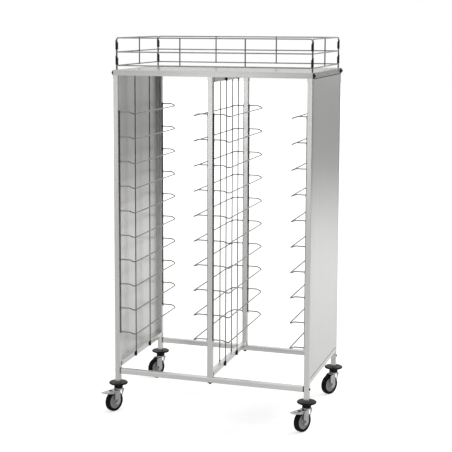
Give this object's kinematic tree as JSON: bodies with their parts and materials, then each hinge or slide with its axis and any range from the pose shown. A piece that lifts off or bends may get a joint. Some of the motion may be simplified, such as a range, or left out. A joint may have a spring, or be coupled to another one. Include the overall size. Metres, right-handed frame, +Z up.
{
  "type": "gastronorm tray trolley",
  "caption": "Tall steel trolley on swivel casters, with wire runners in two bays for trays, closed sides and a wire gallery around its deck.",
  "frame": {"origin": "on the floor, in the middle of the space that the parked trolley takes up, wheels and brake pedals included", "axes": "+X to the right along the wide front, +Y from the front with the brake pedals to the back, +Z up"},
  "size_m": [1.0533, 0.7449, 1.8295],
  "materials": {
    "frame_tube": "satin",
    "sheet_steel": "satin",
    "wire_steel": "polished",
    "plated_steel": "bright zinc plated",
    "black_steel": "blackened",
    "seal_rubber": "moulded",
    "black_plastic": "moulded",
    "bumper_rubber": "moulded",
    "wheel_plastic": "moulded",
    "tyre_rubber": "moulded"
  },
  "bodies": {
    "frame": {"corner_post_front_left": "frame_tube", "corner_post_front_right": "frame_tube", "corner_post_rear_left": "frame_tube", "corner_post_rear_right": "frame_tube", "middle_post_front": "frame_tube", "lower_rail_front": "frame_tube", "upper_rail_front": "frame_tube", "middle_post_rear": "frame_tube", "lower_rail_rear": "frame_tube", "upper_rail_rear": "frame_tube", "lower_rail_left": "frame_tube", "upper_rail_left": "frame_tube", "lower_rail_middle": "frame_tube", "upper_rail_middle": "frame_tube", "lower_rail_right": "frame_tube", "upper_rail_right": "frame_tube", "top_sheet": "sheet_steel", "side_panel_left": "sheet_steel", "side_panel_right": "sheet_steel", "panel_seals": "seal_rubber", "rack_left": "wire_steel", "rack_middle_left": "wire_steel", "rack_middle_right": "wire_steel", "rack_right": "wire_steel", "guard_wires": "wire_steel", "guard_clips": "black_plastic", "gallery_front": "wire_steel", "gallery_rear": "wire_steel", "gallery_left": "wire_steel", "gallery_right": "wire_steel", "gallery_clips": "black_plastic", "frame_bolts": "black_steel", "frame_washers": "black_plastic", "rail_end_plugs": "black_plastic", "rail_screws": "plated_steel", "post_inserts": "black_plastic", "rail_hole_plug": "black_plastic", "caster_bumpers": "bumper_rubber", "caster_collars": "black_plastic", "caster_stems": "plated_steel"},
    "caster_front_left": {"fork_front_left": "plated_steel", "axle_set_front_left": "plated_steel", "pedal_rivets_front_left": "plated_steel"},
    "wheel_front_left": {"hub_front_left": "wheel_plastic", "tyre_front_left": "tyre_rubber"},
    "pedal_front_left": {"pedal_front_left": "plated_steel"},
    "caster_front_right": {"fork_front_right": "plated_steel", "axle_set_front_right": "plated_steel", "pedal_rivets_front_right": "plated_steel"},
    "wheel_front_right": {"hub_front_right": "wheel_plastic", "tyre_front_right": "tyre_rubber"},
    "pedal_front_right": {"pedal_front_right": "plated_steel"},
    "caster_rear_left": {"fork_rear_left": "plated_steel", "axle_set_rear_left": "plated_steel"},
    "wheel_rear_left": {"hub_rear_left": "wheel_plastic", "tyre_rear_left": "tyre_rubber"},
    "caster_rear_right": {"fork_rear_right": "plated_steel", "axle_set_rear_right": "plated_steel"},
    "wheel_rear_right": {"hub_rear_right": "wheel_plastic", "tyre_rear_right": "tyre_rubber"}
  },
  "joints": [
    {"name": "swivel_front_left", "type": "hinge", "parent": "frame", "child": "caster_front_left", "pos_m": [-0.469, -0.273, 0.1107], "axis": [0, 0, 1], "continuous": true},
    {"name": "roll_front_left", "type": "hinge", "parent": "caster_front_left", "child": "wheel_front_left", "pos_m": [-0.48168, -0.30019, 0.05], "axis": [0.9063, -0.4226, 0], "continuous": true},
    {"name": "brake_front_left", "type": "hinge", "parent": "caster_front_left", "child": "pedal_front_left", "pos_m": [-0.48295, -0.30291, 0.093], "axis": [0.9063, -0.4226, 0], "range_deg": [0, 6]},
    {"name": "swivel_front_right", "type": "hinge", "parent": "frame", "child": "caster_front_right", "pos_m": [0.481, -0.273, 0.1107], "axis": [0, 0, 1], "continuous": true},
    {"name": "roll_front_right", "type": "hinge", "parent": "caster_front_right", "child": "wheel_front_right", "pos_m": [0.46692, -0.29949, 0.05], "axis": [0.8829, -0.4695, 0], "continuous": true},
    {"name": "brake_front_right", "type": "hinge", "parent": "caster_front_right", "child": "pedal_front_right", "pos_m": [0.46551, -0.30214, 0.093], "axis": [0.8829, -0.4695, 0], "range_deg": [0, 6]},
    {"name": "swivel_rear_left", "type": "hinge", "parent": "frame", "child": "caster_rear_left", "pos_m": [-0.469, 0.327, 0.1107], "axis": [0, 0, 1], "continuous": true},
    {"name": "roll_rear_left", "type": "hinge", "parent": "caster_rear_left", "child": "wheel_rear_left", "pos_m": [-0.484, 0.30102, 0.05], "axis": [0.866, -0.5, 0], "continuous": true},
    {"name": "swivel_rear_right", "type": "hinge", "parent": "frame", "child": "caster_rear_right", "pos_m": [0.481, 0.327, 0.1107], "axis": [0, 0, 1], "continuous": true},
    {"name": "roll_rear_right", "type": "hinge", "parent": "caster_rear_right", "child": "wheel_rear_right", "pos_m": [0.46555, 0.30129, 0.05], "axis": [0.8572, -0.515, 0], "continuous": true}
  ]
}
